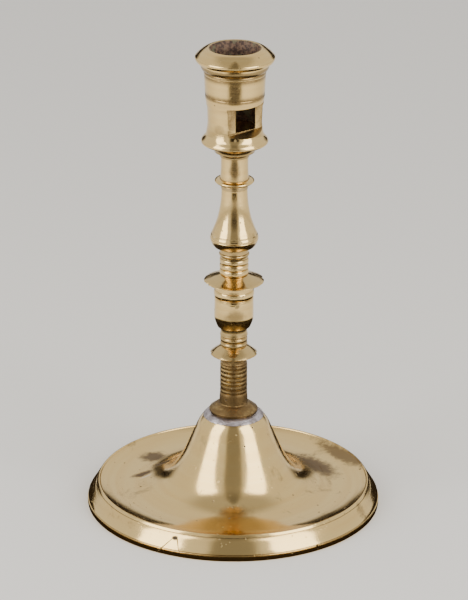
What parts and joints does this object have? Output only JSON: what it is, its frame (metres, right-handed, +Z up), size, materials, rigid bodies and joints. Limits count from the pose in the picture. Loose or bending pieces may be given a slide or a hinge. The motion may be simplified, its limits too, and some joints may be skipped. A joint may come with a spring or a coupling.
{
  "type": "candlestick",
  "caption": "Turned brass candlestick with a dished bell foot, a knopped stem with drip discs and a candle socket with a filed window.",
  "frame": {"origin": "centre of the foot, on the surface that it stands on", "axes": "+Z up along the stem's axis, -Y towards the filed window in the socket"},
  "size_m": [0.1424, 0.1424, 0.2315],
  "materials": {
    "foot_brass": "worn polish, fine turning lines",
    "stem_brass": "polished, with dark tarnish in the grooves",
    "solder": "dull tin-lead solder, lumpy",
    "iron": "dull, lightly rusted"
  },
  "bodies": {
    "root": {"foot": "foot_brass", "solder_fillet": "solder", "shank": "stem_brass", "lower_disc": "stem_brass", "vase_knop": "stem_brass", "upper_disc": "stem_brass", "reeded_collar": "stem_brass", "baluster": "stem_brass", "neck": "stem_brass", "candle_socket": "stem_brass", "tie_rod": "iron", "clamp_washer": "iron", "clamp_nut": "iron"}
  },
  "joints": []
}
